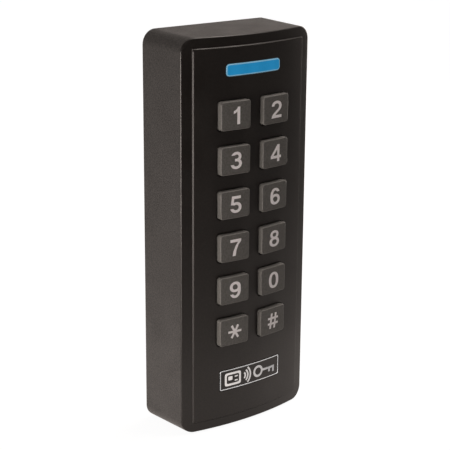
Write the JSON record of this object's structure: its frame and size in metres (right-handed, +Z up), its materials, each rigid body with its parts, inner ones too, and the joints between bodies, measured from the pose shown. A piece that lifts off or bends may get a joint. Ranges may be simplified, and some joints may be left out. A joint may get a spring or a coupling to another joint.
{
  "type": "keypad access reader",
  "caption": "Slim wall-mounted access reader with a curved black front, two columns of numbered keys, a blue status light bar and a wall plate.",
  "frame": {"origin": "midway between the two wall screw holes, on the back face of the wall plate", "axes": "+Z up along the long side, +Y into the wall, so the keys face -Y, and +X to the right as seen from the front"},
  "size_m": [0.0604, 0.0291, 0.1512],
  "materials": {
    "housing_plastic": "fine-textured matte black ABS",
    "panel_plastic": "satin black plastic",
    "key_plastic": "matte dark grey plastic with pale legends",
    "status_blue": "translucent blue, lit from behind",
    "nameplate_black": "black with silver print",
    "plate_plastic": "matte black ABS",
    "foam_tape": "matte black foam",
    "clear_acrylic": "clear",
    "led_package": "white with a yellow lens",
    "silicone": "translucent milky silicone",
    "circuit_board": "green solder mask",
    "screw_steel": "zinc-plated steel",
    "copper_wire": "enamelled copper wire",
    "chip_epoxy": "black moulding compound",
    "can_metal": "drawn metal can",
    "ferrite": "dark grey ferrite",
    "terminal_plastic": "green polyamide"
  },
  "bodies": {
    "reader": {"front_housing": "housing_plastic", "front_panel": "panel_plastic", "panel_tape": "foam_tape", "status_lens": "status_blue", "light_guide": "clear_acrylic", "status_leds": "led_package", "nameplate": "nameplate_black", "dome_mat": "silicone", "key_leds": "led_package", "main_board": "circuit_board", "board_screws": "screw_steel", "antenna_coil": "copper_wire", "microcontroller": "chip_epoxy", "radio_chip": "chip_epoxy", "line_driver": "chip_epoxy", "crystal": "can_metal", "voltage_regulator": "chip_epoxy", "power_inductor": "ferrite", "capacitors": "can_metal", "chip_resistors": "chip_epoxy", "buzzer": "chip_epoxy", "tamper_sensor": "chip_epoxy", "terminal_block": "terminal_plastic", "terminal_screws": "screw_steel", "wall_plate": "plate_plastic", "lock_screw": "screw_steel"},
    "key_1": {"key_1": "key_plastic"},
    "key_2": {"key_2": "key_plastic"},
    "key_3": {"key_3": "key_plastic"},
    "key_4": {"key_4": "key_plastic"},
    "key_5": {"key_5": "key_plastic"},
    "key_6": {"key_6": "key_plastic"},
    "key_7": {"key_7": "key_plastic"},
    "key_8": {"key_8": "key_plastic"},
    "key_9": {"key_9": "key_plastic"},
    "key_0": {"key_0": "key_plastic"},
    "key_star": {"key_star": "key_plastic"},
    "key_hash": {"key_hash": "key_plastic"}
  },
  "joints": [
    {"name": "key_1_press", "type": "slide", "parent": "reader", "child": "key_1", "axis": [0, 1, 0], "range_m": [0, 0.001], "stiffness_N_per_m": 1200, "deforming": ["dome_mat"]},
    {"name": "key_2_press", "type": "slide", "parent": "reader", "child": "key_2", "axis": [0, 1, 0], "range_m": [0, 0.001], "stiffness_N_per_m": 1200, "deforming": ["dome_mat"]},
    {"name": "key_3_press", "type": "slide", "parent": "reader", "child": "key_3", "axis": [0, 1, 0], "range_m": [0, 0.001], "stiffness_N_per_m": 1200, "deforming": ["dome_mat"]},
    {"name": "key_4_press", "type": "slide", "parent": "reader", "child": "key_4", "axis": [0, 1, 0], "range_m": [0, 0.001], "stiffness_N_per_m": 1200, "deforming": ["dome_mat"]},
    {"name": "key_5_press", "type": "slide", "parent": "reader", "child": "key_5", "axis": [0, 1, 0], "range_m": [0, 0.001], "stiffness_N_per_m": 1200, "deforming": ["dome_mat"]},
    {"name": "key_6_press", "type": "slide", "parent": "reader", "child": "key_6", "axis": [0, 1, 0], "range_m": [0, 0.001], "stiffness_N_per_m": 1200, "deforming": ["dome_mat"]},
    {"name": "key_7_press", "type": "slide", "parent": "reader", "child": "key_7", "axis": [0, 1, 0], "range_m": [0, 0.001], "stiffness_N_per_m": 1200, "deforming": ["dome_mat"]},
    {"name": "key_8_press", "type": "slide", "parent": "reader", "child": "key_8", "axis": [0, 1, 0], "range_m": [0, 0.001], "stiffness_N_per_m": 1200, "deforming": ["dome_mat"]},
    {"name": "key_9_press", "type": "slide", "parent": "reader", "child": "key_9", "axis": [0, 1, 0], "range_m": [0, 0.001], "stiffness_N_per_m": 1200, "deforming": ["dome_mat"]},
    {"name": "key_0_press", "type": "slide", "parent": "reader", "child": "key_0", "axis": [0, 1, 0], "range_m": [0, 0.001], "stiffness_N_per_m": 1200, "deforming": ["dome_mat"]},
    {"name": "key_star_press", "type": "slide", "parent": "reader", "child": "key_star", "axis": [0, 1, 0], "range_m": [0, 0.001], "stiffness_N_per_m": 1200, "deforming": ["dome_mat"]},
    {"name": "key_hash_press", "type": "slide", "parent": "reader", "child": "key_hash", "axis": [0, 1, 0], "range_m": [0, 0.001], "stiffness_N_per_m": 1200, "deforming": ["dome_mat"]}
  ]
}
